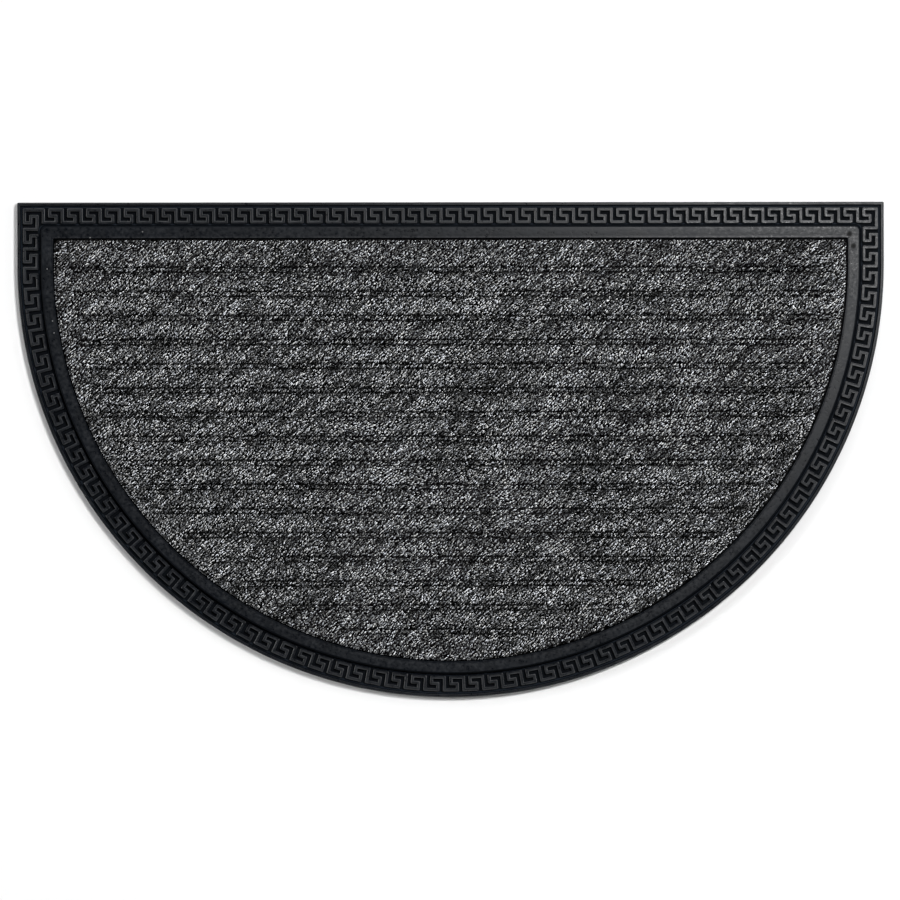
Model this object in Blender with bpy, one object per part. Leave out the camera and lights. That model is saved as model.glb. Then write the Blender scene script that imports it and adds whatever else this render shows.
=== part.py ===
"""Half-round doormat, 70 x 40 cm: a moulded rubber tray with a Greek key border, and a ribbed carpet in it.

The mat lies on Z = 0 with its straight edge at +Y. Sizes are in metres.
"""

import math

import bmesh
import bpy
from mathutils import Vector

# The whole mat
WIDTH = 0.700
DEPTH = 0.400
RADIUS = WIDTH / 2
STRAIGHT_EDGE_Y = DEPTH / 2
ARC_CENTRE_Y = RADIUS - DEPTH / 2
ARC_STEPS = 72
CORNER_STEPS = 3

# The tray's border, as distances in from the mat's edge
LIP_WIDTH = 0.0023
BAND_OUTER = 0.0199
BAND_INNER = 0.0291
LIP_CORNER = 0.0008
BAND_CORNER = 0.0036

# The tray's heights
FLOOR_Z = 0.0021
LIP_Z = 0.0041
RIDGE_Z = 0.0039
BAND_Z = 0.0057
LIP_BEVEL = 0.0006
RIDGE_BEVEL = 0.0003
BAND_BEVEL = 0.0006

# The Greek key, one endless ridge on a square grid
KEY_LINE = 0.0059
KEY_UNIT = 0.00255
RIDGE_WIDTH = 0.0023
KEY_GRID_PITCH = 6
TOP_PITCHES = 45
SIDE_PITCHES = 3
# Grid steps (along, across) at the turns of one pitch: in, along, half way out, back, and out again
KEY_STEPS = ((0, 0), (0, 4), (4, 4), (4, 2), (2, 2), (2, 0))
# Round the arc from the right: where the pitches of the sides end and start, and the degrees a pitch
ARC_FROM_DEGREES = 0.35
ARC_TO_DEGREES = 179.48
ARC_END_PITCHES = 8
ARC_RIGHT_DEGREES = 2.731
ARC_LEFT_DEGREES = 2.816
ARC_MIDDLE_PITCHES = 51

# The carpet
CARPET_EDGE = 0.0299
CARPET_CORNER = 0.0040
CARPET_GAP = 0.0003
CARPET_UNDER_Z = FLOOR_Z + CARPET_GAP
MARGIN = 0.0120
MARGIN_Z = 0.0070
RIB_PITCH = 0.01948
RIB_PAIRS = 16
FIRST_GROOVE_Y = 0.1477
GROOVE_APART = 0.0040
GROOVE_WIDTH = 0.0015
GROOVE_Z = 0.0054
RIB_EDGE_Z = 0.0068
RIB_CROWN = 0.0007
BEAD_Z = 0.0069
CROWN_STEPS = 4
EDGE_LINE_Y = 0.1632
EDGE_LINE_WIDTH = 0.0012
EDGE_LINE_Z = 0.0064

# How deep a joined piece is rooted in the one below it, and how far a cutter runs past what it cuts
ROOT = 0.0010
PAST = 0.0050

# Base colour, roughness and metallic value of each material
MATERIALS = {
    "rubber": ((0.028, 0.028, 0.030, 1.0), 0.62, 0.0),
    "carpet": ((0.060, 0.061, 0.064, 1.0), 0.95, 0.0),
}


def clear_scene():
    for old in list(bpy.data.objects):
        bpy.data.objects.remove(old, do_unlink=True)


def new_collection(name):
    collection = bpy.data.collections.new(name)
    bpy.context.scene.collection.children.link(collection)
    return collection


def new_material(name):
    colour, roughness, metallic = MATERIALS[name]
    material = bpy.data.materials.new(name)
    material.use_nodes = True
    shader = material.node_tree.nodes["Principled BSDF"]
    shader.inputs["Base Color"].default_value = colour
    shader.inputs["Roughness"].default_value = roughness
    shader.inputs["Metallic"].default_value = metallic
    material.diffuse_color = colour
    return material


def corner_points(side, half_width, top, radius):
    """The top right (side 1) or top left (side -1) corner, as a short arc or one sharp point."""
    if radius == 0:
        return [(side * half_width, top)]
    start = 0 if side > 0 else 90
    points = []
    for step in range(CORNER_STEPS + 1):
        turn = math.radians(start + 90 * step / CORNER_STEPS)
        x = side * (half_width - radius) + radius * math.cos(turn)
        points.append((x, top - radius + radius * math.sin(turn)))
    return points


def d_outline(inset, corner=0.0):
    """The mat's outline moved in by inset: anticlockwise, along the straight edge and then round the arc."""
    half_width = RADIUS - inset
    top = STRAIGHT_EDGE_Y - inset
    points = corner_points(1, half_width, top, corner)
    points += corner_points(-1, half_width, top, corner)
    for step in range(ARC_STEPS + 1):
        turn = math.radians(180 + 180 * step / ARC_STEPS)
        points.append((half_width * math.cos(turn), ARC_CENTRE_Y + half_width * math.sin(turn)))
    return points


def add_spline(curve, points):
    spline = curve.splines.new("POLY")
    spline.points.add(len(points) - 1)
    for target, (x, y) in zip(spline.points, points):
        target.co = (x, y, 0.0, 1.0)
    spline.use_cyclic_u = True


def plate(name, collection, outlines, low, high, bevel=0.0):
    """A flat piece between two heights, from its outline and any hole in it, as a welded mesh."""
    curve = bpy.data.curves.new(name, "CURVE")
    curve.dimensions = "2D"
    curve.fill_mode = "BOTH"
    curve.extrude = (high - low) / 2 - bevel
    curve.bevel_depth = bevel
    curve.bevel_resolution = 0
    curve.offset = -bevel
    for outline in outlines:
        add_spline(curve, outline)
    drawn = bpy.data.objects.new(name + "_outline", curve)
    drawn.location.z = (low + high) / 2
    bpy.context.scene.collection.objects.link(drawn)
    return mesh_of_curve(drawn, name, collection)


def mesh_of_curve(drawn, name, collection):
    bpy.context.view_layer.update()
    evaluated = drawn.evaluated_get(bpy.context.evaluated_depsgraph_get())
    mesh = bpy.data.meshes.new_from_object(evaluated)
    shape = bmesh.new()
    shape.from_mesh(mesh)
    bmesh.ops.remove_doubles(shape, verts=shape.verts, dist=0.00001)
    bmesh.ops.recalc_face_normals(shape, faces=shape.faces)
    shape.to_mesh(mesh)
    shape.free()
    made = bpy.data.objects.new(name, mesh)
    made.matrix_world = drawn.matrix_world
    collection.objects.link(made)
    curve = drawn.data
    bpy.data.objects.remove(drawn, do_unlink=True)
    bpy.data.curves.remove(curve)
    return made


def combine(piece, operation, other):
    """A Boolean on the piece, with the other shape kept as a hidden helper."""
    boolean = piece.modifiers.new(other.name, "BOOLEAN")
    boolean.operation = operation
    boolean.solver = "EXACT"
    boolean.object = other
    other.hide_render = True
    other.display_type = "WIRE"


def finish(piece, material):
    piece.data.materials.clear()
    piece.data.materials.append(material)
    piece.data.shade_smooth()
    piece.data.set_sharp_from_angle(angle=math.radians(30))


def key_places():
    """The border's stretches, clockwise from the top left: where a place along and across each one lies,
    its pitches, and how many of those hold only the outer run, as after a corner."""
    half_line = RADIUS - KEY_LINE
    top_line = STRAIGHT_EDGE_Y - KEY_LINE
    top_pitch = 2 * half_line / TOP_PITCHES
    right_end = ARC_CENTRE_Y - half_line * math.sin(math.radians(ARC_FROM_DEGREES))
    left_start = ARC_CENTRE_Y - half_line * math.sin(math.radians(180 - ARC_TO_DEGREES))
    right_pitch = (top_line - right_end) / SIDE_PITCHES
    left_pitch = (top_line - left_start) / SIDE_PITCHES

    def top(along, across):
        return Vector((-half_line + along * top_pitch, top_line - across))

    def right_side(along, across):
        return Vector((half_line - across, top_line - along * right_pitch))

    def left_side(along, across):
        return Vector((-half_line + across, left_start + along * left_pitch))

    def arc_from(start, step):
        def arc(along, across):
            turn = -math.radians(start + along * step)
            reach = half_line - across
            return Vector((reach * math.cos(turn), ARC_CENTRE_Y + reach * math.sin(turn)))

        return arc

    middle_from = ARC_FROM_DEGREES + ARC_END_PITCHES * ARC_RIGHT_DEGREES
    middle_to = ARC_TO_DEGREES - ARC_END_PITCHES * ARC_LEFT_DEGREES
    middle_degrees = (middle_to - middle_from) / ARC_MIDDLE_PITCHES
    return (
        (top, TOP_PITCHES, 1),
        (right_side, SIDE_PITCHES, 1),
        (arc_from(ARC_FROM_DEGREES, ARC_RIGHT_DEGREES), ARC_END_PITCHES, 0),
        (arc_from(middle_from, middle_degrees), ARC_MIDDLE_PITCHES, 0),
        (arc_from(middle_to, ARC_LEFT_DEGREES), ARC_END_PITCHES, 0),
        (left_side, SIDE_PITCHES, 0),
    )


def key_centre_line():
    """The turning points of the key's ridge, once round the border."""
    points = []
    for place, pitches, plain_pitches in key_places():
        for pitch in range(pitches):
            if pitch < plain_pitches:
                points.append(place(pitch, 0))
                continue
            for along, across in KEY_STEPS:
                points.append(place(pitch + along / KEY_GRID_PITCH, across * KEY_UNIT))
    return points


def ribbon_edges(centre_line, width):
    """Both edges of an endless ribbon, mitred at each turn."""
    left_edge = []
    right_edge = []
    count = len(centre_line)
    for index, point in enumerate(centre_line):
        before = (point - centre_line[index - 1]).normalized()
        after = (centre_line[(index + 1) % count] - point).normalized()
        normal_before = Vector((-before.y, before.x))
        normal_after = Vector((-after.y, after.x))
        mitre = (normal_before + normal_after) / (1 + normal_before.dot(normal_after))
        left_edge.append(tuple(point + mitre * width / 2))
        right_edge.append(tuple(point - mitre * width / 2))
    return left_edge, right_edge


def make_tray(parts, helpers, material):
    """The moulded rubber: a flat plate, its rounded lip, the band round the carpet and the key between."""
    tray = plate("rubber_base", parts, [d_outline(LIP_WIDTH / 2)], -ROOT, FLOOR_Z)
    lip_outlines = [d_outline(0, LIP_CORNER), d_outline(LIP_WIDTH)]
    lip = plate("lip", helpers, lip_outlines, -PAST, LIP_Z, LIP_BEVEL)
    band_outlines = [d_outline(BAND_OUTER, BAND_CORNER), d_outline(BAND_INNER)]
    band = plate("band", helpers, band_outlines, FLOOR_Z - ROOT, BAND_Z, BAND_BEVEL)
    ridge_edges = ribbon_edges(key_centre_line(), RIDGE_WIDTH)
    key = plate("greek_key", helpers, ridge_edges, FLOOR_Z - ROOT, RIDGE_Z, RIDGE_BEVEL)
    for joined in (lip, band, key):
        combine(tray, "UNION", joined)
    ground = plate("below_ground", helpers, [d_outline(-PAST)], -2 * PAST, 0)
    combine(tray, "DIFFERENCE", ground)
    finish(tray, material)


def groove(middle, width, bottom, edge_z):
    """A V-shaped groove's section, from its far side to its near side."""
    return [(middle + width / 2, edge_z), (middle, bottom), (middle - width / 2, edge_z)]


def rib_section():
    """The carpet's upper profile as (y, z), from the straight edge down: pairs of grooves with a narrow bead
    between them, and a wide crowned rib from each pair to the next."""
    points = [(STRAIGHT_EDGE_Y, RIB_EDGE_Z)]
    points += groove(EDGE_LINE_Y, EDGE_LINE_WIDTH, EDGE_LINE_Z, RIB_EDGE_Z)
    rib_width = RIB_PITCH - GROOVE_APART - GROOVE_WIDTH
    for pair in range(RIB_PAIRS):
        upper = FIRST_GROOVE_Y - pair * RIB_PITCH
        lower = upper - GROOVE_APART
        points += groove(upper, GROOVE_WIDTH, GROOVE_Z, RIB_EDGE_Z)
        points.append((upper - GROOVE_APART / 2, BEAD_Z))
        points += groove(lower, GROOVE_WIDTH, GROOVE_Z, RIB_EDGE_Z)
        if pair == RIB_PAIRS - 1:
            continue
        for step in range(1, CROWN_STEPS):
            across = step / CROWN_STEPS
            rise = RIB_CROWN * math.sin(math.pi * across)
            points.append((lower - GROOVE_WIDTH / 2 - across * rib_width, RIB_EDGE_Z + rise))
    points.append((-STRAIGHT_EDGE_Y, RIB_EDGE_Z))
    return points


def make_carpet(parts, helpers, material):
    """The ribbed block, its grooves filled along the plain margin, cut to the tray's shape."""
    section = rib_section() + [(-STRAIGHT_EDGE_Y, 0), (STRAIGHT_EDGE_Y, 0)]
    carpet = plate("carpet_insert", parts, [section], -RADIUS, RADIUS)
    carpet.rotation_euler = (math.radians(90), 0, math.radians(90))
    margin_outlines = [d_outline(CARPET_EDGE - PAST), d_outline(CARPET_EDGE + MARGIN)]
    margin = plate("carpet_margin", helpers, margin_outlines, CARPET_UNDER_Z + ROOT, MARGIN_Z)
    cut_shape = [d_outline(CARPET_EDGE, CARPET_CORNER)]
    cut = plate("carpet_cut", helpers, cut_shape, CARPET_UNDER_Z, CARPET_UNDER_Z + 2 * PAST)
    combine(carpet, "UNION", margin)
    combine(carpet, "INTERSECT", cut)
    finish(carpet, material)


def main():
    clear_scene()
    parts = new_collection("half_round_doormat")
    helpers = new_collection("cutters")
    make_tray(parts, helpers, new_material("rubber"))
    make_carpet(parts, helpers, new_material("carpet"))


main()
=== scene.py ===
"""Looks of the half-round doormat: the rubber tray with its Greek key, and the ribbed carpet with its pile.

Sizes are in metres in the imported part's frame: the ground is Z = 0 and the straight edge is at +Y.
"""

import math

import bmesh
import bpy
import numpy as np
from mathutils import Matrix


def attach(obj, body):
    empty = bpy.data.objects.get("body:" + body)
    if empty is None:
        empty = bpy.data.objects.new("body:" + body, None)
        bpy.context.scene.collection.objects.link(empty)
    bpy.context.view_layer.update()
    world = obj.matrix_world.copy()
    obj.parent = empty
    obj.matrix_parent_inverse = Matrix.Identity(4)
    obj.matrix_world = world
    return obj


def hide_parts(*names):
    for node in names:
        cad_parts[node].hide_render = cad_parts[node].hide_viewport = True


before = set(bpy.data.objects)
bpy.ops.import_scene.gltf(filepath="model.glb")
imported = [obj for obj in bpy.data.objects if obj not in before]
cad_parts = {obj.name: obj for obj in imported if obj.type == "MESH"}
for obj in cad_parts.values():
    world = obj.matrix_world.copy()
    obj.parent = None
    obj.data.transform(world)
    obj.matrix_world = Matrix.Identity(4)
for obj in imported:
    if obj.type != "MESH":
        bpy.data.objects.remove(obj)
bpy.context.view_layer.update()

# The mat's outline, as in the part
WIDTH = 0.700
DEPTH = 0.400
RADIUS = WIDTH / 2
STRAIGHT_EDGE_Y = DEPTH / 2
ARC_CENTRE_Y = RADIUS - DEPTH / 2
ARC_STEPS = 300
CORNER_STEPS = 6
EDGE_STEPS = 40

# The tray's upper side from the ground round the lip, across the channel and over the band into the
# recess: how far in from the mat's edge, the height, and the radius of the two corners there
TRAY_PROFILE = (
    (0.0004, 0.0000, 0.0008),
    (0.0000, 0.0005, 0.0010),
    (0.0000, 0.0031, 0.0010),
    (0.0002, 0.0037, 0.0010),
    (0.0005, 0.0040, 0.0009),
    (0.0008, 0.0041, 0.0008),
    (0.0010, 0.0041, 0.0007),
    (0.0019, 0.0041, 0.0003),
    (0.0021, 0.0041, 0.0003),
    (0.0023, 0.0039, 0.0003),
    (0.0024, 0.0034, 0.0002),
    (0.0025, 0.0023, 0.0002),
    (0.0027, 0.0021, 0.0002),
    (0.0030, 0.0021, 0.0002),
    (0.0044, 0.0021, 0.0002),
    (0.0173, 0.0021, 0.0061),
    (0.0181, 0.0021, 0.0053),
    (0.0186, 0.0022, 0.0048),
    (0.0190, 0.0027, 0.0044),
    (0.0193, 0.0040, 0.0041),
    (0.0196, 0.0050, 0.0038),
    (0.0199, 0.0055, 0.0035),
    (0.0203, 0.0057, 0.0031),
    (0.0208, 0.0057, 0.0026),
    (0.0262, 0.0057, 0.0004),
    (0.0274, 0.0056, 0.0002),
    (0.0281, 0.0056, 0.0002),
    (0.0284, 0.0057, 0.0002),
    (0.0288, 0.0057, 0.0002),
    (0.0291, 0.0053, 0.0002),
    (0.0291, 0.0021, 0.0002),
)
BAND_Z = 0.0057
# The tray's finishes, in the order of its material slots
BAND, CHANNEL, RIDGE, CREASE_PAINTED_SHADE, STRIP_PAINTED_LIGHT = range(5)
# The rings of the profile from the foot of the lip to the top of the band's slope have the channel's
# finish, and so has the recess. It is darkened with painted shade in the creases at the foot of the walls,
# and lightened with painted light in the strips beside them, which lie in shadow.
CHANNEL_RINGS = range(10, 22)
PAINTED_SHADE_RINGS = (10, 11, 12, 16, 17)
PAINTED_LIGHT_RINGS = (13, 15)
RECESS_RING = 29
TRAY_SHARP_DEGREES = 40

# Bits of pale lint and two dark scuffs on the band, as (x, y), and the share of a spot with its full tone
LINT = ((-0.3257, 0.1464), (-0.3213, 0.1044), (-0.3200, 0.0947), (-0.2909, 0.1715), (-0.2486, 0.1763))
LINT_RADIUS = 0.0007
SCUFFS = ((0.3221, 0.1739), (0.3253, 0.1642))
SCUFF_RADIUS = 0.0026
SPOT_CORE = 0.4

# The Greek key, as in the part: its line's place, the unit of its steps and the pitches of its stretches
KEY_LINE = 0.0059
KEY_UNIT = 0.00255
RIDGE_WIDTH = 0.0023
KEY_GRID_PITCH = 6
TOP_PITCHES = 45
SIDE_PITCHES = 3
KEY_STEPS = ((0, 0), (0, 4), (4, 4), (4, 2), (2, 2), (2, 0))
ARC_FROM_DEGREES = 0.35
ARC_TO_DEGREES = 179.48
ARC_END_PITCHES = 8
ARC_RIGHT_DEGREES = 2.731
ARC_LEFT_DEGREES = 2.816
ARC_MIDDLE_PITCHES = 51
# How far from a turn its rounding starts, and how much that changes between its inner and outer side
KEY_BEND = 0.0006
KEY_BEND_CHANGE = 0.0003
BEND_STEPS = 4
# A ridge's section: across it as a share of its half width, the height, and how much painted highlight its
# rim carries there
RIDGE_PROFILE = (
    (-1.28, 0.0017, 0.0),
    (-1.00, 0.0034, 0.0),
    (-0.92, 0.0037, 0.4),
    (-0.74, 0.00388, 1.0),
    (-0.42, 0.00386, 0.6),
    (0.00, 0.00385, 0.4),
    (0.42, 0.00386, 0.6),
    (0.74, 0.00388, 1.0),
    (0.92, 0.0037, 0.4),
    (1.00, 0.0034, 0.0),
    (1.28, 0.0017, 0.0),
)
# A ridge's faces whose middle is lower than this have the channel's finish
RIDGE_SIDE_TOP = 0.0034

# The carpet's cloth: its edge, in from the mat's, its underside, its height between ribs and how far its
# edge rolls over
CARPET_EDGE = 0.0299
CARPET_CORNER = 0.0040
CLOTH_UNDER_Z = 0.0024
CLOTH_Z = 0.0058
CLOTH_ROLL = 0.0012
CLOTH_SHARP_DEGREES = 50
# The plain margin, and how far outside and inside its line the ribs and grooves fade away
MARGIN = 0.0120
MARGIN_FADE_OUT = 0.0008
MARGIN_FADE_IN = 0.0004
# The ribs, each with a pair of grooves above it. A groove comes and goes along its run: it keeps at least
# this share of its depth, and is whole where the groove field is above the second of the two values.
RIB_PITCH = 0.01948
RIB_CROWN = 0.0006
GROOVE_PAIRS = 16
FIRST_GROOVE_Y = 0.1477
GROOVE_APART = 0.0040
GROOVE_HALF_WIDTH = 0.0008
GROOVE_DEPTH = 0.0016
UPPER_GROOVE_LEAST = 0.70
LOWER_GROOVE_LEAST = 0.35
GROOVE_HELD = (-1.2, 0.9)
# A shallow line along the straight edge, which stops short of the carpet's sides
EDGE_LINE_Y = 0.1632
EDGE_LINE_SHARE = 0.35
EDGE_LINE_END = 0.0040
# The cloth's mesh: rows from the arc upwards, with closer ones at its foot and at the upper corners, and
# columns, with closer ones at these distances from its sides
CLOTH_ROW = 0.0012
CLOTH_ROW_LEAST = 0.00012
FOOT_ROWS = (0.00005, 0.00020, 0.00045, 0.0008)
CORNER_ROWS = 9
CLOTH_COLUMNS = 81
CLOTH_COLUMNS_SHARE = 0.97
EDGE_DISTANCES = (0.0, 0.0003, 0.0007, 0.0013, 0.0025, 0.0045, 0.0070)

# The smooth random fields: seed, size along and across, direction in degrees, and number of waves
GROOVE_FIELD = (21, 0.009, 0.003, 0, 64)
CLUMP_FIELD = (7, 0.0070, 0.0011, 41, 160)
CLOUD_FIELD = (8, 0.012, 0.004, 40, 90)
TUFT_FIELD = (12, 0.0080, 0.0014, 41, 160)
CREASE_FIELD = (9, 0.0160, 0.0040, 40, 120)
LEAN_FIELD = (5, 0.012, 0.012, 0, 64)

# The pile: flattened locks of fibre that lean to the upper right, rooted in staggered rows along the lean
PILE_SEED = 11
PILE_PIECES = 6
PILE_REACH = 0.42
LOCK_ALONG = 0.0017
LOCK_ACROSS = 0.00075
LOCK_JITTER = 0.45
# A lock's shape: its length from above, its tip's width as a share of its root's, and its twist
LOCK_LENGTH = 0.0022
LENGTH_SPREAD = 0.25
LENGTH_RANGE = (0.5, 1.7)
LOCK_WIDTH = 0.00080
WIDTH_RANGE = (0.75, 1.25)
TIP_WIDTH = 0.7
TWIST_RANGE = (0.06, 0.16)
LEAN_DEGREES = 44
LEAN_SPREAD = 9
LEAN_WANDER = 8
# A root is sunk in the cloth, and a tip rises above it by a least, a random and a pale lock's part, and by
# a share of the lock's length
ROOT_SINK = 0.0004
RISE_LEAST = 0.0003
RISE_RANDOM = 0.0010
RISE_PALE = 0.0003
PALE_RANGE = (0.2, 0.7)
RISE_SLOPE = 0.10
# How far inside the carpet's edge the locks start and end, and where a short lock's tip would be
ROOT_EDGE = 0.0002
TIP_EDGE = 0.0009
TIP_STEP = 0.0006
TIP_TRIES = 6
TIP_SHORTER = 0.75
# Within this distance of the lower left edge further locks lean out over the cloth's edge
RIM_REACH = 0.0021
RIM_JITTER = 0.0004
# Locks end GROOVE_SINK below the next groove, but for a bold share of them, and a root within GROOVE_PASSED
# of that line, or above it, ends at the groove after. The room for a lock is measured along its lean, at
# least ROOM_LEAST, and without end in the margin.
GROOVE_SINK = 0.0006
GROOVE_PASSED = 0.0006
BOLD_SHARE = 0.35
ROOM_LEAST = 0.0012
ROOM_ENDLESS = 1.0
LEAST_UPWARD = 0.05
# The share of locks that are missing in a groove
GROOVE_MISSING = 0.30
# The part of a lock that shows lies this much above its root
LOCK_LIFT = 0.0012

# Lightness is the square root of reflectance. A lock shares its tone with those before and behind it, and
# differs from those beside it.
LIGHT_MIDDLE = 0.312
LIGHT_SPREAD = 0.34
LIGHT_LEAST = 0.012
LIGHT_CONTRAST = 1.0
STREAK_SHARE = 0.7
# Each of these is a part of the natural logarithm of reflectance: pale and dark clumps, wide clouds and
# pale tufts, and painted shade in the dark creases, on the low side of a rib, in the margin and below the
# grooves
CLUMP_SPREAD = 0.35
CLOUD_SPREAD = 0.10
TUFT_LIGHT = 0.5
TUFT_FROM = 0.9
TUFT_MOST = 1.4
CREASE_SHADE = 0.6
CREASE_WIDTH = 0.12
LOW_SIDE_SHADE = 0.22
LOW_SIDE_RANGE = (0.6, 0.85)
MARGIN_SHADE = 0.26
UPPER_GROOVE_SHADE = 1.42
LOWER_GROOVE_SHADE = 1.30
# A groove's shade dies away over this distance below the upper groove, and over this share of the rib
# below the lower one. Along its run it keeps at least this share.
GROOVE_FADE = 0.0011
RIB_FADE = 0.14
SHADE_LEAST = 0.75
SHADE_HELD = (-1.6, 0.9)
# A lock's two root corners and two tip corners: how light each one is, with painted shade at the root and
# painted light at the tip, its random part, and its hue
ROOT_SHADE_TIP_LIGHT = (0.60, 0.58, 1.12, 1.10)
CORNER_SPREAD = 0.15
LIGHT_RANGE = (0.010, 0.92)
HUE_RANGE = (0.03, 0.97)
CORNER_HUES = (0, 0.012, -0.012, 0.006)
LOCK_FACES = ((0, 1, 2), (0, 3, 1), (0, 2, 3), (1, 3, 2))
BAKE_MAP_RANGE = (0.002, 0.998)

# The rubber's colours: a bluish black, with a paler painted highlight along the ridges' rims
RAISED_COLOUR = (0.0012, 0.0024, 0.0045, 1)
RIM_HIGHLIGHT_COLOUR = (0.026, 0.028, 0.031, 1)
RIM_HIGHLIGHT_SHARE = 0.8
CHANNEL_DARK = (0.0014, 0.0024, 0.0042, 1)
CHANNEL_PALE = (0.0026, 0.0042, 0.0066, 1)
LINT_GREY = 0.16
SCUFF_GREY = 0.0015
SCUFF_ROUGHNESS = 0.60
# The carpet's colours: the felt below the pile, whose near black is partly painted shade in the gaps
# between locks, and the pile's hues from cool to warm
FELT_AND_GAP_SHADE_GREYS = (0.0005, 0.02)
FELT_SPECULAR = 0.01
FIBRE_STRETCH = 0.4
FIBRE_SCALE = 1150.0
COOL_TINT = (0.943, 0.99, 1.082, 1)
MIDDLE_TINT = (0.973, 1.0, 1.027, 1)
WARM_TINT = (1.003, 1.00, 0.972, 1)
PILE_SPECULAR = 0.01
# The values that nearly all of a noise lies between
NOISE_LOW = 0.3
NOISE_HIGH = 0.7

# The floor, just below the mat
FLOOR_HALF = 15.0
FLOOR_Z = -0.0001
FLOOR_GREYS = (0.84, 0.86)

# The studio's faint surroundings, and the camera, straight above and turned a little as in the photograph
WORLD_COLOUR = (0.95, 0.97, 1.0, 1)
WORLD_STRENGTH = 0.03
CAMERA_PLACE = (-0.00058, -0.00021, 6.0606)
CAMERA_ROLL_DEGREES = -0.07
CAMERA_LENS = 300
CAMERA_SENSOR = 36


def put_in_scene(name, data):
    made = bpy.data.objects.new(name, data)
    bpy.context.scene.collection.objects.link(made)
    return made


def new_object(name, vertices, faces):
    mesh = bpy.data.meshes.new(name)
    mesh.from_pydata(vertices, [], faces)
    return put_in_scene(name, mesh)


def write_attribute(mesh, name, values):
    attribute = mesh.attributes.get(name) or mesh.attributes.new(name, "FLOAT", "POINT")
    attribute.data.foreach_set("value", np.asarray(values, np.float32))


def turn_outward(piece):
    """Makes all of a closed mesh's faces look outward."""
    shape = bmesh.new()
    shape.from_mesh(piece.data)
    bmesh.ops.recalc_face_normals(shape, faces=shape.faces)
    shape.to_mesh(piece.data)
    shape.free()


def shade_smooth(piece, sharp_degrees):
    """Smooth shading, with sharp edges where faces meet at more than this angle."""
    piece.data.shade_smooth()
    piece.data.set_sharp_from_angle(angle=math.radians(sharp_degrees))


def smooth_step(values, low, high):
    t = np.clip((values - low) / (high - low), 0, 1)
    return t * t * (3 - 2 * t)


def smooth_field(x, y, seed, along, across, degrees, waves):
    """A smooth random field of unit spread, whose features are drawn out in one direction."""
    rng = np.random.default_rng(seed)
    numbers = rng.normal(size=(waves, 2)) / (along, across)
    turn = math.radians(degrees)
    ways = np.array([[math.cos(turn), math.sin(turn)], [-math.sin(turn), math.cos(turn)]])
    numbers = numbers @ ways
    phases = rng.uniform(0, 2 * math.pi, waves)
    total = np.zeros_like(x)
    for (kx, ky), phase in zip(numbers, phases):
        total += np.cos(kx * x + ky * y + phase)
    return total * math.sqrt(2 / waves)


def d_outline(inset, corner):
    """The mat's outline moved in by inset, anticlockwise from the right end of the straight edge."""
    half_width = RADIUS - inset
    top = STRAIGHT_EDGE_Y - inset
    quarter = np.linspace(0, math.pi / 2, CORNER_STEPS + 1)
    right = np.stack([np.cos(quarter), np.sin(quarter)], 1) * corner
    right += (half_width - corner, top - corner)
    left = right[::-1] * (-1, 1)
    along = np.linspace(0, 1, EDGE_STEPS + 2)[1:-1, None]
    edge = right[-1] + (left[0] - right[-1]) * along
    turn = np.linspace(math.pi, 2 * math.pi, ARC_STEPS + 1)
    arc = np.stack([half_width * np.cos(turn), ARC_CENTRE_Y + half_width * np.sin(turn)], 1)
    return np.concatenate([right, edge, left, arc])


def ring_faces(rings, count):
    """Quads between each ring of count points and the next."""
    faces = []
    for ring in range(rings - 1):
        low = ring * count
        for i in range(count):
            j = (i + 1) % count
            faces.append((low + i, low + j, low + count + j, low + count + i))
    return faces


def make_tray():
    """The tray without its key: one closed loft of the profile round the outline."""
    rings = []
    for inset, height, corner in TRAY_PROFILE:
        outline = d_outline(inset, corner)
        rings.append(np.column_stack([outline, np.full(len(outline), height)]))
    count = len(rings[0])
    faces = ring_faces(len(rings), count)
    faces.append(tuple(range(count))[::-1])
    faces.append(tuple(range(count * (len(rings) - 1), count * len(rings))))
    tray = new_object("rubber_tray", np.concatenate(rings), faces)
    for face in tray.data.polygons:
        ring = face.index // count
        # Painted shade in the creases, and painted light in the strips beside them
        if ring in PAINTED_SHADE_RINGS:
            face.material_index = CREASE_PAINTED_SHADE
        elif ring in PAINTED_LIGHT_RINGS:
            face.material_index = STRIP_PAINTED_LIGHT
        elif ring in CHANNEL_RINGS or ring >= RECESS_RING:
            face.material_index = CHANNEL
        else:
            face.material_index = BAND
    return tray


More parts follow.
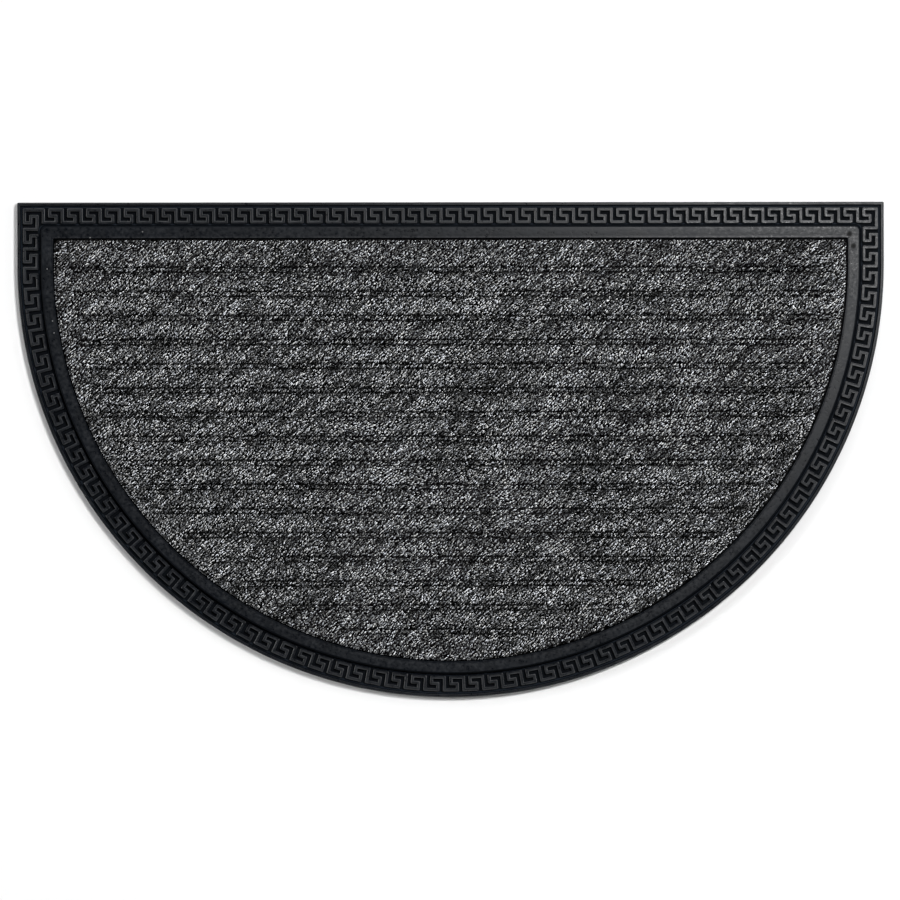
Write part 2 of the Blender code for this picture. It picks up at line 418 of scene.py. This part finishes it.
def key_places():
    """The border's stretches, clockwise from the top left, as in the part: where a place along and across
    each one lies, its pitches, and how many of those hold only the outer run."""
    half_line = RADIUS - KEY_LINE
    top_line = STRAIGHT_EDGE_Y - KEY_LINE
    top_pitch = 2 * half_line / TOP_PITCHES
    right_end = ARC_CENTRE_Y - half_line * math.sin(math.radians(ARC_FROM_DEGREES))
    left_start = ARC_CENTRE_Y - half_line * math.sin(math.radians(180 - ARC_TO_DEGREES))
    right_pitch = (top_line - right_end) / SIDE_PITCHES
    left_pitch = (top_line - left_start) / SIDE_PITCHES

    def top(along, across):
        return -half_line + along * top_pitch, top_line - across

    def right_side(along, across):
        return half_line - across, top_line - along * right_pitch

    def left_side(along, across):
        return -half_line + across, left_start + along * left_pitch

    def arc_from(start, step):
        def arc(along, across):
            turn = -math.radians(start + along * step)
            reach = half_line - across
            return reach * math.cos(turn), ARC_CENTRE_Y + reach * math.sin(turn)

        return arc

    middle_from = ARC_FROM_DEGREES + ARC_END_PITCHES * ARC_RIGHT_DEGREES
    middle_to = ARC_TO_DEGREES - ARC_END_PITCHES * ARC_LEFT_DEGREES
    middle_degrees = (middle_to - middle_from) / ARC_MIDDLE_PITCHES
    return (
        (top, TOP_PITCHES, 1),
        (right_side, SIDE_PITCHES, 1),
        (arc_from(ARC_FROM_DEGREES, ARC_RIGHT_DEGREES), ARC_END_PITCHES, 0),
        (arc_from(middle_from, middle_degrees), ARC_MIDDLE_PITCHES, 0),
        (arc_from(middle_to, ARC_LEFT_DEGREES), ARC_END_PITCHES, 0),
        (left_side, SIDE_PITCHES, 0),
    )


def key_centre_line():
    points = []
    for place, pitches, plain_pitches in key_places():
        for pitch in range(pitches):
            if pitch < plain_pitches:
                points.append(place(pitch, 0))
                continue
            for along, across in KEY_STEPS:
                points.append(place(pitch + along / KEY_GRID_PITCH, across * KEY_UNIT))
    return np.array(points)


def make_key():
    """The endless ridge with its turns rounded, as a closed tube of its section."""
    line = key_centre_line()
    before = line - np.roll(line, 1, 0)
    before /= np.linalg.norm(before, axis=1, keepdims=True)
    after = np.roll(before, -1, 0)
    normal_before = np.stack([-before[:, 1], before[:, 0]], 1)
    normal_after = np.stack([-after[:, 1], after[:, 0]], 1)
    mitre = (normal_before + normal_after) / (1 + (normal_before * normal_after).sum(1, keepdims=True))
    side = np.sign(before[:, 0] * after[:, 1] - before[:, 1] * after[:, 0])[:, None]
    steps = np.linspace(0, 1, BEND_STEPS)[None, :, None]
    rings, rim_highlight = [], []
    for across, height, highlight in RIDGE_PROFILE:
        corner = line + mitre * across * RIDGE_WIDTH / 2
        bend = KEY_BEND - KEY_BEND_CHANGE * side * across
        start = (corner - before * bend)[:, None]
        end = (corner + after * bend)[:, None]
        turned = (1 - steps) ** 2 * start + 2 * steps * (1 - steps) * corner[:, None] + steps**2 * end
        turned = turned.reshape(-1, 2)
        rings.append(np.column_stack([turned, np.full(len(turned), height)]))
        rim_highlight.append(np.full(len(turned), highlight))
    count = len(rings[0])
    faces = ring_faces(len(rings), count)
    last = count * (len(rings) - 1)
    faces += [(last + i, last + (i + 1) % count, (i + 1) % count, i) for i in range(count)]
    key = new_object("greek_key", np.concatenate(rings), faces)
    # Where the painted highlight along the ridges' rims lies
    write_attribute(key.data, "rim_highlight", np.concatenate(rim_highlight))
    for face in key.data.polygons:
        face.material_index = CHANNEL if face.center.z < RIDGE_SIDE_TOP else RIDGE
    return key


def join_key(tray, key):
    """One moulding: the key's union with the tray, applied to the tray's mesh."""
    write_attribute(tray.data, "rim_highlight", np.zeros(len(tray.data.vertices)))
    turn_outward(tray)
    turn_outward(key)
    union = tray.modifiers.new("key", "BOOLEAN")
    union.operation = "UNION"
    union.solver = "EXACT"
    union.object = key
    bpy.context.view_layer.update()
    evaluated = tray.evaluated_get(bpy.context.evaluated_depsgraph_get())
    joined = bpy.data.meshes.new_from_object(evaluated)
    tray.modifiers.clear()
    tray.data = joined
    bpy.data.objects.remove(key, do_unlink=True)
    shade_smooth(tray, TRAY_SHARP_DEGREES)


def edge_distance(x, y):
    """How far a place is inside the carpet's edge."""
    half_width = RADIUS - CARPET_EDGE
    top = STRAIGHT_EDGE_Y - CARPET_EDGE
    from_arc = half_width - np.hypot(x, y - ARC_CENTRE_Y)
    over_x = np.abs(x) - (half_width - CARPET_CORNER)
    over_y = y - (top - CARPET_CORNER)
    outside = np.hypot(np.maximum(over_x, 0), np.maximum(over_y, 0))
    from_sides = CARPET_CORNER - outside - np.minimum(np.maximum(over_x, over_y), 0)
    return np.where(y < ARC_CENTRE_Y, np.minimum(from_arc, from_sides), from_sides)


def ribbed_share(x, y):
    """1 where the carpet is ribbed and 0 in the plain margin."""
    return smooth_step(edge_distance(x, y), MARGIN - MARGIN_FADE_OUT, MARGIN + MARGIN_FADE_IN)


def groove_places():
    upper = FIRST_GROOVE_Y - RIB_PITCH * np.arange(GROOVE_PAIRS)
    return np.sort(np.concatenate([upper, upper - GROOVE_APART]))


def groove_share(x, y):
    """1 in the middle of a groove and 0 between grooves and in the plain margin."""
    away = np.abs(y[..., None] - groove_places())
    lower = away.argmin(-1) % 2 == 0
    least = np.where(lower, LOWER_GROOVE_LEAST, UPPER_GROOVE_LEAST)
    held = least + (1 - least) * smooth_step(smooth_field(x, y, *GROOVE_FIELD), *GROOVE_HELD)
    share = np.clip(1 - away.min(-1) / GROOVE_HALF_WIDTH, 0, 1) * held
    line = np.clip(1 - np.abs(y - EDGE_LINE_Y) / GROOVE_HALF_WIDTH, 0, 1) * EDGE_LINE_SHARE
    return np.maximum(share * ribbed_share(x, y), line * (edge_distance(x, y) > EDGE_LINE_END))


def rib_phase(y):
    """0 at a rib's upper side, just below a pair of grooves, and 1 at its lower side, by the next pair."""
    lower = FIRST_GROOVE_Y - GROOVE_APART
    return np.mod((lower - y) / RIB_PITCH, 1) * RIB_PITCH / (RIB_PITCH - GROOVE_APART)


def cloth_height(x, y):
    crown = RIB_CROWN * np.sin(math.pi * np.clip(rib_phase(y), 0, 1)) * ribbed_share(x, y)
    roll = CLOTH_ROLL * (1 - smooth_step(edge_distance(x, y), 0, CLOTH_ROLL))
    return CLOTH_Z + crown - GROOVE_DEPTH * groove_share(x, y) - roll


def cloth_rows():
    """The y of each row of the cloth's points, from the foot of the arc to the straight edge."""
    top = STRAIGHT_EDGE_Y - CARPET_EDGE
    rows = list(np.arange(-top + CLOTH_ROW, top - CARPET_CORNER, CLOTH_ROW))
    rows += [-top + step for step in FOOT_ROWS]
    rows += [top - CARPET_CORNER * (1 - math.sin(t)) for t in np.linspace(0, math.pi / 2, CORNER_ROWS)]
    for place in (*groove_places(), EDGE_LINE_Y):
        rows += [place - GROOVE_HALF_WIDTH, place, place + GROOVE_HALF_WIDTH]
    rows = np.unique(np.round(rows, 5))
    return rows[np.append(np.diff(rows) > CLOTH_ROW_LEAST, True)]


def cloth_half_widths(rows):
    """Half the cloth's width at each row: within the arc, the straight sides or the rounded corners."""
    half_width = RADIUS - CARPET_EDGE
    corner_y = STRAIGHT_EDGE_Y - CARPET_EDGE - CARPET_CORNER
    widths = half_width + 0 * rows
    low = rows < ARC_CENTRE_Y
    widths[low] = np.sqrt(half_width**2 - (ARC_CENTRE_Y - rows[low]) ** 2)
    high = rows > corner_y
    reach = CARPET_CORNER**2 - (rows[high] - corner_y) ** 2
    widths[high] = half_width - CARPET_CORNER + np.sqrt(np.maximum(reach, 0))
    return widths


def make_cloth():
    """The carpet's ribbed, needled body as one closed mesh."""
    rows = cloth_rows()
    near = 1 - np.array(EDGE_DISTANCES) / (RADIUS - CARPET_EDGE)
    inner = np.linspace(-CLOTH_COLUMNS_SHARE, CLOTH_COLUMNS_SHARE, CLOTH_COLUMNS)
    shares = np.concatenate([-near, inner, near[::-1]])
    x = cloth_half_widths(rows)[:, None] * shares[None]
    y = np.repeat(rows[:, None], len(shares), 1)
    upper = np.stack([x, y, cloth_height(x, y)], -1).reshape(-1, 3)
    columns = len(shares)
    faces = []
    for row in range(len(rows) - 1):
        for column in range(columns - 1):
            first = row * columns + column
            faces.append((first, first + 1, first + columns + 1, first + columns))
    last = (len(rows) - 1) * columns
    rim = list(range(columns)) + [row * columns + columns - 1 for row in range(1, len(rows))]
    rim += [last + column for column in range(columns - 2, -1, -1)]
    rim += [row * columns for row in range(len(rows) - 2, 0, -1)]
    under = upper[rim].copy()
    under[:, 2] = CLOTH_UNDER_Z
    base = len(upper)
    for i in range(len(rim)):
        j = (i + 1) % len(rim)
        faces.append((rim[i], base + i, base + j, rim[j]))
    faces.append(tuple(range(base + len(rim) - 1, base - 1, -1)))
    cloth = new_object("carpet_cloth", np.concatenate([upper, under]), faces)
    turn_outward(cloth)
    shade_smooth(cloth, CLOTH_SHARP_DEGREES)
    return cloth


def lock_roots(rng):
    """Jittered places in staggered rows along the lean, fewer in the grooves, a random tone for each, and
    which of them lean the other way."""
    along, across = np.meshgrid(
        np.arange(-PILE_REACH, PILE_REACH, LOCK_ALONG), np.arange(-PILE_REACH, PILE_REACH, LOCK_ACROSS)
    )
    along = along + LOCK_ALONG * (0.5 * (np.arange(len(along)) % 2)[:, None])
    along = along + LOCK_ALONG * rng.uniform(-LOCK_JITTER, LOCK_JITTER, along.shape)
    across = across + LOCK_ACROSS * rng.uniform(-LOCK_JITTER, LOCK_JITTER, across.shape)
    tone = rng.normal(size=along.shape)
    tone = tone + STREAK_SHARE * (np.roll(tone, 1, 1) + np.roll(tone, -1, 1))
    tone = tone - LIGHT_CONTRAST * (np.roll(tone, 1, 0) + np.roll(tone, -1, 0)) / 2
    tone /= tone.std()
    turn = math.radians(LEAN_DEGREES)
    x = (along * math.cos(turn) - across * math.sin(turn)).ravel()
    y = (along * math.sin(turn) + across * math.cos(turn)).ravel()
    on = (edge_distance(x, y) > ROOT_EDGE) & (edge_distance(x + TIP_STEP, y + TIP_STEP) > TIP_EDGE)
    x, y = x[on], y[on]
    keep = rng.uniform(size=x.size) > GROOVE_MISSING * groove_share(x, y + LOCK_LIFT)
    x, y, tone = x[keep], y[keep], tone.ravel()[on][keep]
    rim = np.flatnonzero(edge_distance(x - RIM_REACH, y - RIM_REACH) < 0)
    leans_out = np.append(np.zeros(len(x), bool), np.ones(len(rim), bool))
    x = np.append(x, x[rim] + rng.uniform(0, RIM_JITTER, len(rim)))
    y = np.append(y, y[rim] + rng.uniform(0, RIM_JITTER, len(rim)))
    return x, y, np.append(tone, tone[rim[::-1]]), leans_out


def lock_lengths(rng, x, y, way):
    """Each lock's length from above: most end short of the groove above them, all by the carpet's edge."""
    length = LOCK_LENGTH * np.exp(LENGTH_SPREAD * rng.normal(size=len(x))).clip(*LENGTH_RANGE)
    above = groove_places()[None, :] - GROOVE_HALF_WIDTH / 2 - GROOVE_SINK - y[:, None]
    above[above <= GROOVE_PASSED] = ROOM_ENDLESS
    room = above.min(1) / np.maximum(way[:, 1], LEAST_UPWARD)
    room = np.where(edge_distance(x, y) > MARGIN, np.maximum(room, ROOM_LEAST), ROOM_ENDLESS)
    bold = rng.uniform(size=len(x)) < BOLD_SHARE
    length = np.where(bold, length, np.minimum(length, room))
    for _ in range(TIP_TRIES):
        tip_room = edge_distance(x + way[:, 0] * length, y + way[:, 1] * length)
        over = tip_room < np.where(way[:, 1] < 0, 0, TIP_EDGE)
        length = np.where(over, length * TIP_SHORTER, length)
    return length


def groove_shade(x, y):
    """The shade below each groove's upper side for a lock rooted here, which fades down the rib."""
    held = smooth_step(smooth_field(x, y, *GROOVE_FIELD), *SHADE_HELD)
    held = SHADE_LEAST + (1 - SHADE_LEAST) * held
    below = FIRST_GROOVE_Y + GROOVE_HALF_WIDTH / 2 - (y + LOCK_LIFT)
    upper = np.mod(below, RIB_PITCH)
    lower = np.mod(below - GROOVE_APART, RIB_PITCH)
    shade = np.where(upper < GROOVE_APART, UPPER_GROOVE_SHADE * np.exp(-upper / GROOVE_FADE), 0)
    shade += LOWER_GROOVE_SHADE * np.exp(-lower / (RIB_FADE * RIB_PITCH))
    return shade * held * (edge_distance(x, y) > MARGIN - MARGIN_FADE_IN)


def creases(x, y):
    """1 along thin creases that run to the upper right, which get painted shade, and 0 between them."""
    return np.exp(-((smooth_field(x, y, *CREASE_FIELD) / CREASE_WIDTH) ** 2))


def lock_lights(tone, x, y):
    """Each lock's lightness: salt and pepper, with pale clumps, and painted shade in dark creases, on the
    low side of each rib, in the margin and below the grooves.
    """
    inside = edge_distance(x, y)
    patch = CLUMP_SPREAD * smooth_field(x, y, *CLUMP_FIELD)
    patch += CLOUD_SPREAD * smooth_field(x, y, *CLOUD_FIELD)
    patch += TUFT_LIGHT * np.clip(smooth_field(x, y, *TUFT_FIELD) - TUFT_FROM, 0, TUFT_MOST)
    # Painted shade: dark creases, the low side of each rib, the margin and the grooves
    patch -= CREASE_SHADE * creases(x, y)
    patch -= LOW_SIDE_SHADE * smooth_step(rib_phase(y + LOCK_LIFT), *LOW_SIDE_RANGE) * (inside > MARGIN)
    patch -= groove_shade(x, y) + MARGIN_SHADE * (inside < MARGIN)
    return np.maximum(LIGHT_MIDDLE + LIGHT_SPREAD * tone, LIGHT_LEAST) * np.exp(patch / 2)


def make_pile():
    """Every lock is a closed, flat, slightly twisted tetrahedron that narrows from its root to its tip."""
    rng = np.random.default_rng(PILE_SEED)
    x, y, tone, leans_out = lock_roots(rng)
    count = len(x)
    turn = LEAN_DEGREES + LEAN_SPREAD * rng.normal(size=count)
    turn = np.radians(turn + LEAN_WANDER * smooth_field(x, y, *LEAN_FIELD))
    turn = np.where(leans_out, turn + math.pi, turn)
    way = np.stack([np.cos(turn), np.sin(turn)], 1)
    length = lock_lengths(rng, x, y, way)
    width = LOCK_WIDTH * rng.uniform(*WIDTH_RANGE, count)
    light = lock_lights(tone, x, y)
    rise = RISE_LEAST + RISE_RANDOM * rng.uniform(size=count)
    rise = rise + RISE_PALE * smooth_step(light, *PALE_RANGE) + RISE_SLOPE * length
    root = np.stack([x, y, cloth_height(x, y + LOCK_LIFT) - ROOT_SINK], 1)
    tip = root + np.stack([way[:, 0] * length, way[:, 1] * length, rise], 1)
    across = np.stack([-way[:, 1], way[:, 0], 0 * x], 1) * width[:, None] / 2
    twist = rng.uniform(*TWIST_RANGE, count) * rng.choice((-1, 1), count)
    up = np.array([0, 0, 1]) * (width * twist)[:, None]
    tip_left, tip_right = tip + TIP_WIDTH * across + up, tip - TIP_WIDTH * across - up
    points = np.stack([root + across, root - across, tip_left, tip_right], 1)
    # Painted shade at each lock's root and painted light at its tip
    light = light[:, None] * np.exp(CORNER_SPREAD * rng.normal(size=(count, 4))) * np.array(ROOT_SHADE_TIP_LIGHT)
    light = light.clip(*LIGHT_RANGE)
    hue = rng.uniform(*HUE_RANGE, count)[:, None] + np.array(CORNER_HUES)
    faces = np.array(LOCK_FACES)
    faces = np.where((twist > 0)[:, None, None], faces[None], faces[None, :, ::-1])
    order = np.argsort(-y, kind="stable")
    return [
        pile_piece(f"pile_{index + 1}", points[chosen], light[chosen], hue[chosen], faces[chosen])
        for index, chosen in enumerate(np.array_split(order, PILE_PIECES))
    ]


def pile_piece(name, points, light, hue, faces):
    """One mesh of locks, each with four points, that carries the lightness and hue of every point."""
    corners = (faces + 4 * np.arange(len(points))[:, None, None]).ravel()
    light, hue = light.ravel(), hue.ravel()
    mesh = bpy.data.meshes.new(name)
    mesh.vertices.add(4 * len(points))
    mesh.vertices.foreach_set("co", points.astype(np.float32).ravel())
    mesh.loops.add(len(corners))
    mesh.loops.foreach_set("vertex_index", corners.astype(np.int32))
    mesh.polygons.add(len(corners) // 3)
    mesh.polygons.foreach_set("loop_start", np.arange(0, len(corners), 3, dtype=np.int32))
    mesh.update(calc_edges=True)
    write_attribute(mesh, "lightness", light)
    write_attribute(mesh, "hue", hue)
    # A map by colour, so that a bake finds each lock's colour wherever the lock lies
    places = np.stack([light[corners], hue[corners]], 1).clip(*BAKE_MAP_RANGE)
    bake_map = mesh.uv_layers.new(name="OFBake")
    bake_map.uv.foreach_set("vector", places.astype(np.float32).ravel())
    return put_in_scene(name, mesh)


def new_material(name):
    material = bpy.data.materials.new(name)
    material.use_nodes = True
    tree = material.node_tree
    return material, tree, tree.nodes["Principled BSDF"]


def set_input(tree, node, name, value):
    """Links a socket to a node's input, or sets the input to a value."""
    if isinstance(value, bpy.types.NodeSocket):
        tree.links.new(value, node.inputs[name])
    else:
        node.inputs[name].default_value = value


def add_node(tree, kind, inputs, **settings):
    node = tree.nodes.new(kind)
    for name, value in settings.items():
        setattr(node, name, value)
    for name, value in inputs.items():
        set_input(tree, node, name, value)
    return node


def object_place(tree):
    return add_node(tree, "ShaderNodeTexCoord", {}).outputs["Object"]


def attribute(tree, name):
    return add_node(tree, "ShaderNodeAttribute", {}, attribute_name=name).outputs["Fac"]


def noise(tree, place, scale, detail=2.0, roughness=0.5):
    inputs = {"Vector": place, "Scale": scale, "Detail": detail, "Roughness": roughness}
    return add_node(tree, "ShaderNodeTexNoise", inputs).outputs["Fac"]


def ranged(tree, value, low, high, to_low=0.0, to_high=1.0):
    inputs = {"Value": value, "From Min": low, "From Max": high, "To Min": to_low, "To Max": to_high}
    return add_node(tree, "ShaderNodeMapRange", inputs).outputs["Result"]


def stretched(tree, noise_value, to_low=0.0, to_high=1.0):
    """A noise's usual range brought to this one."""
    return ranged(tree, noise_value, NOISE_LOW, NOISE_HIGH, to_low, to_high)


def maths(tree, operation, first, second):
    node = add_node(tree, "ShaderNodeMath", {0: first, 1: second}, operation=operation)
    return node.outputs["Value"]


def blended(tree, share, first, second, blend="MIX"):
    inputs = {0: share, 6: first, 7: second}
    node = add_node(tree, "ShaderNodeMix", inputs, data_type="RGBA", blend_type=blend)
    return node.outputs[2]


def multiplied(tree, colour, factor):
    return blended(tree, 1.0, colour, factor, "MULTIPLY")


def add_bump(tree, shader, height, strength, distance):
    bump = add_node(
        tree, "ShaderNodeBump", {"Height": height, "Strength": strength, "Distance": distance}
    )
    set_input(tree, shader, "Normal", bump.outputs["Normal"])


def grey(value):
    return (value, value, value, 1.0)


def spots(tree, place, centres, radius):
    """1 within any of these places' cores, fading to 0 at their radius."""
    mask = None
    for x, y in centres:
        away = add_node(
            tree, "ShaderNodeVectorMath", {0: place, 1: (x, y, BAND_Z)}, operation="DISTANCE"
        ).outputs["Value"]
        spot = ranged(tree, away, radius, radius * SPOT_CORE)
        mask = spot if mask is None else maths(tree, "MAXIMUM", mask, spot)
    return mask


def raised_rubber(name, gloss, speck):
    """The smoother tops of the lip, the key and the band: cloudy, with a painted highlight along the
    ridges' rims, two scuffs and some lint.
    speck is how much the grain changes the roughness."""
    material, tree, shader = new_material(name)
    set_input(tree, shader, "Specular IOR Level", gloss)
    place = object_place(tree)
    rim_highlight = attribute(tree, "rim_highlight")
    cloud = noise(tree, place, scale=60, detail=5, roughness=0.65)
    mottle = noise(tree, place, scale=330, detail=4, roughness=0.7)
    grain = noise(tree, place, scale=1000, detail=3, roughness=0.6)

    # Painted highlight: the ridges' rims are made paler
    colour = blended(tree, maths(tree, "MULTIPLY", rim_highlight, RIM_HIGHLIGHT_SHARE), RAISED_COLOUR, RIM_HIGHLIGHT_COLOUR)
    colour = multiplied(tree, colour, stretched(tree, cloud, 0.7, 1.3))
    colour = multiplied(tree, colour, stretched(tree, mottle, 0.8, 1.2))
    colour = blended(tree, spots(tree, place, LINT, LINT_RADIUS), colour, grey(LINT_GREY))
    scuffs = spots(tree, place, SCUFFS, SCUFF_RADIUS)
    colour = blended(tree, scuffs, colour, grey(SCUFF_GREY))
    set_input(tree, shader, "Base Color", colour)

    scuffed = maths(tree, "MULTIPLY", scuffs, SCUFF_ROUGHNESS)
    rough = maths(tree, "ADD", stretched(tree, mottle, 0.24, 0.52), scuffed)
    rough = maths(tree, "ADD", rough, stretched(tree, cloud, -0.04, 0.04))
    rough = maths(tree, "ADD", rough, stretched(tree, grain, -speck, speck))
    set_input(tree, shader, "Roughness", rough)

    relief = maths(tree, "ADD", maths(tree, "MULTIPLY", grain, 0.3), mottle)
    add_bump(tree, shader, relief, strength=0.20, distance=0.0006)
    return material


def channel_rubber(name, gloss, tone):
    """The dull, darker channel and the foot of everything that rises from it. tone is its brightness,
    lowered for painted shade in the creases and raised for painted light in the strips.
    """
    material, tree, shader = new_material(name)
    set_input(tree, shader, "Specular IOR Level", gloss)
    place = object_place(tree)
    cloud = noise(tree, place, scale=110, detail=4, roughness=0.6)
    grain = noise(tree, place, scale=1500, detail=3, roughness=0.6)
    colour = blended(tree, stretched(tree, cloud), CHANNEL_DARK, CHANNEL_PALE)
    colour = multiplied(tree, colour, stretched(tree, grain, 0.75 * tone, 1.25 * tone))
    set_input(tree, shader, "Base Color", colour)
    set_input(tree, shader, "Roughness", stretched(tree, grain, 0.64, 0.76))
    add_bump(tree, shader, grain, strength=0.35, distance=0.0003)
    return material


def cloth_material():
    """The needled felt below the pile: nearly black, partly its own colour and partly painted shade in the
    gaps between locks, with paler fibres along the lean.
    """
    material, tree, shader = new_material("needled_felt")
    set_input(tree, shader, "Specular IOR Level", FELT_SPECULAR)
    place = object_place(tree)
    turned = add_node(
        tree, "ShaderNodeMapping", {"Vector": place, "Rotation": (0, 0, math.radians(-LEAN_DEGREES))}
    ).outputs["Vector"]
    drawn_out = add_node(
        tree, "ShaderNodeMapping", {"Vector": turned, "Scale": (FIBRE_STRETCH, 1.0, 1.0)}
    ).outputs["Vector"]
    cells = add_node(tree, "ShaderNodeTexVoronoi", {"Vector": drawn_out, "Scale": FIBRE_SCALE})
    fibre = add_node(tree, "ShaderNodeSeparateColor", {"Color": cells.outputs["Color"]}).outputs["Red"]
    felt = noise(tree, place, scale=900, detail=4, roughness=0.7)
    # Painted shade in part: the felt is made nearly black for the gaps between locks
    colour = blended(tree, maths(tree, "POWER", fibre, 3.0), *map(grey, FELT_AND_GAP_SHADE_GREYS))
    colour = multiplied(tree, colour, stretched(tree, felt, 0.4, 1.3))
    set_input(tree, shader, "Base Color", colour)
    set_input(tree, shader, "Roughness", stretched(tree, felt, 1.0, 0.85))
    add_bump(tree, shader, felt, strength=0.6, distance=0.0005)
    return material


def pile_material():
    """Each lock's colour from its own lightness, from near black to nearly white, and its faint hue."""
    material, tree, shader = new_material("pile_fibre")
    set_input(tree, shader, "Specular IOR Level", PILE_SPECULAR)
    light = attribute(tree, "lightness")
    tinted = add_node(tree, "ShaderNodeValToRGB", {"Fac": attribute(tree, "hue")})
    ramp = tinted.color_ramp
    ramp.elements[0].position, ramp.elements[0].color = 0.0, COOL_TINT
    ramp.elements[1].position, ramp.elements[1].color = 1.0, WARM_TINT
    ramp.elements.new(0.5).color = MIDDLE_TINT
    colour = multiplied(tree, tinted.outputs["Color"], maths(tree, "POWER", light, 2.0))
    set_input(tree, shader, "Base Color", colour)
    set_input(tree, shader, "Roughness", ranged(tree, light, 0.1, 0.8, 0.95, 0.72))
    return material


def floor_material():
    material, tree, shader = new_material("pale_floor")
    cloud = noise(tree, object_place(tree), scale=3)
    set_input(tree, shader, "Base Color", blended(tree, cloud, *map(grey, FLOOR_GREYS)))
    set_input(tree, shader, "Roughness", 0.9)
    set_input(tree, shader, "Specular IOR Level", 0.1)
    return material


def add_disk(name, place, size, power):
    """A round light near the mat that points at its middle."""
    lamp = bpy.data.lights.new(name, "AREA")
    lamp.shape = "DISK"
    lamp.size = size
    lamp.energy = power
    light = put_in_scene(name, lamp)
    light.location = place
    x, y, z = place
    tilt = math.acos(z / math.hypot(x, y, z))
    light.rotation_euler = (tilt, 0, math.atan2(-y, -x) - math.pi / 2)


def add_sun(name, azimuth, elevation, spread, strength):
    """A far, soft light. Azimuth 0 is from the straight edge's side and 90 from the right."""
    lamp = bpy.data.lights.new(name, "SUN")
    lamp.angle = math.radians(spread)
    lamp.energy = strength
    light = put_in_scene(name, lamp)
    light.rotation_euler = (math.radians(elevation - 90), 0, math.radians(-azimuth))


def make_stage():
    """The pale floor, the soft lights, brightest from the upper right, and the camera straight above."""
    corners = [(x * FLOOR_HALF, y * FLOOR_HALF, FLOOR_Z) for x, y in ((-1, -1), (1, -1), (1, 1), (-1, 1))]
    floor = new_object("floor", corners, [(0, 1, 2, 3)])
    floor.data.materials.append(floor_material())
    add_sun("key_light", azimuth=45, elevation=40, spread=9, strength=2.45)
    add_disk("sheen_light", place=(0.34, 0.33, 0.95), size=0.25, power=3.6)
    add_sun("window_light", azimuth=0, elevation=15, spread=28, strength=1.75)
    add_sun("left_light", azimuth=-80, elevation=13, spread=24, strength=2.7)
    add_sun("right_light", azimuth=85, elevation=13, spread=24, strength=1.4)
    add_sun("front_light", azimuth=180, elevation=17, spread=30, strength=0.9)
    world = bpy.data.worlds.new("studio")
    world.use_nodes = True
    background = world.node_tree.nodes["Background"]
    background.inputs["Color"].default_value = WORLD_COLOUR
    background.inputs["Strength"].default_value = WORLD_STRENGTH
    bpy.context.scene.world = world
    bpy.context.scene.view_settings.view_transform = "Standard"
    camera = bpy.data.cameras.new("camera")
    camera.lens = CAMERA_LENS
    camera.sensor_width = CAMERA_SENSOR
    viewer = put_in_scene("camera", camera)
    viewer.location = CAMERA_PLACE
    viewer.rotation_euler.z = math.radians(CAMERA_ROLL_DEGREES)
    bpy.context.scene.camera = viewer


def dress_tray():
    """The finished tray in place of its solid, with the finishes in the order of their slots' names."""
    tray = make_tray()
    key = make_key()
    finishes = (
        raised_rubber("band_rubber", gloss=0.48, speck=0.05),
        channel_rubber("channel_rubber", gloss=0.08, tone=0.8),
        raised_rubber("ridge_rubber", gloss=0.59, speck=0.08),
        # Painted shade: the creases at the foot of the walls are darker
        channel_rubber("crease_painted_shade_rubber", gloss=0.05, tone=0.6),
        # Painted light: the strips beside the creases, which lie in shadow, are made paler
        channel_rubber("strip_painted_light_rubber", gloss=0.16, tone=2.8),
    )
    for piece in (tray, key):
        for finish in finishes:
            piece.data.materials.append(finish)
    join_key(tray, key)
    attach(tray, "root")
    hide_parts("rubber_base")
    return tray


def dress_carpet(tray):
    """The cloth in place of its solid, laid in the tray, and the pile on it."""
    cloth = make_cloth()
    cloth.data.materials.append(cloth_material())
    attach(cloth, "root")
    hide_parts("carpet_insert")

    pile = make_pile()
    fibre = pile_material()
    for piece in pile:
        piece.data.materials.append(fibre)
        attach(piece, "root")


make_stage()
dress_carpet(dress_tray())
